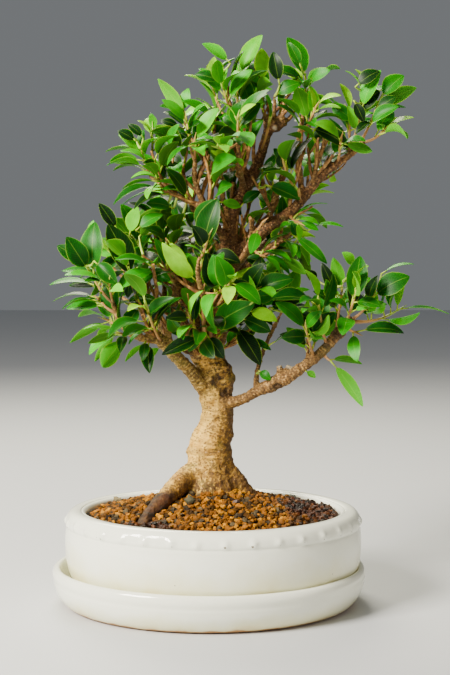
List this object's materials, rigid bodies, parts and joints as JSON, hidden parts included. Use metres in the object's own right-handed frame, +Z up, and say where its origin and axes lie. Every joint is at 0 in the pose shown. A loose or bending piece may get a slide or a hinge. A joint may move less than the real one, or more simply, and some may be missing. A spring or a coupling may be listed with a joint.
{
  "type": "chinese banyan bonsai",
  "caption": "Small fig tree with a flared, knobbly trunk and leafy sprays, rooted in granular soil in an oval glazed pot on a matching saucer.",
  "frame": {"origin": "middle of the saucer's flat underside, on the surface it stands on", "axes": "+Z up along the tree, +X to the right as seen from the front, +Y to the back"},
  "size_m": [0.2395, 0.1734, 0.343],
  "materials": {
    "saucer_glaze": "gloss",
    "pot_glaze": "gloss",
    "netting": "matte",
    "soil": "matte",
    "bark": "matte",
    "leaf": "satin"
  },
  "bodies": {
    "root": {"saucer": "saucer_glaze", "pot": "pot_glaze", "drain_netting_left": "netting", "drain_netting_right": "netting", "soil": "soil", "trunk": "bark", "spray_upper_left_1": "leaf", "spray_upper_left_2": "leaf", "spray_upper_left_3": "leaf", "spray_upper_left_4": "leaf", "spray_upper_left_5": "leaf", "spray_upper_left_6": "leaf", "spray_top_1": "leaf", "spray_top_2": "leaf", "spray_top_3": "leaf", "spray_top_4": "leaf", "spray_top_5": "leaf", "spray_limb_1": "leaf", "spray_upper_right_1": "leaf", "spray_upper_right_2": "leaf", "spray_upper_right_3": "leaf", "spray_upper_right_4": "leaf", "spray_limb_2": "leaf", "spray_limb_3": "leaf", "spray_limb_4": "leaf", "spray_limb_5": "leaf", "spray_left_1": "leaf", "spray_left_2": "leaf", "spray_left_3": "leaf", "spray_left_4": "leaf", "spray_left_5": "leaf", "spray_left_6": "leaf", "spray_left_7": "leaf", "spray_left_8": "leaf", "spray_left_9": "leaf", "spray_centre_1": "leaf", "spray_centre_2": "leaf", "spray_centre_3": "leaf", "spray_centre_4": "leaf", "spray_centre_5": "leaf", "spray_centre_6": "leaf", "spray_centre_7": "leaf", "spray_right_1": "leaf", "spray_right_2": "leaf", "spray_right_3": "leaf", "spray_right_4": "leaf", "spray_right_5": "leaf", "spray_right_6": "leaf", "spray_right_7": "leaf", "spray_right_8": "leaf", "spray_right_9": "leaf", "spray_back_1": "leaf", "spray_back_2": "leaf", "spray_back_3": "leaf", "spray_back_4": "leaf", "spray_back_5": "leaf", "spray_back_6": "leaf", "spray_back_7": "leaf", "spray_back_8": "leaf", "spray_front_up_1": "leaf"}
  },
  "joints": []
}
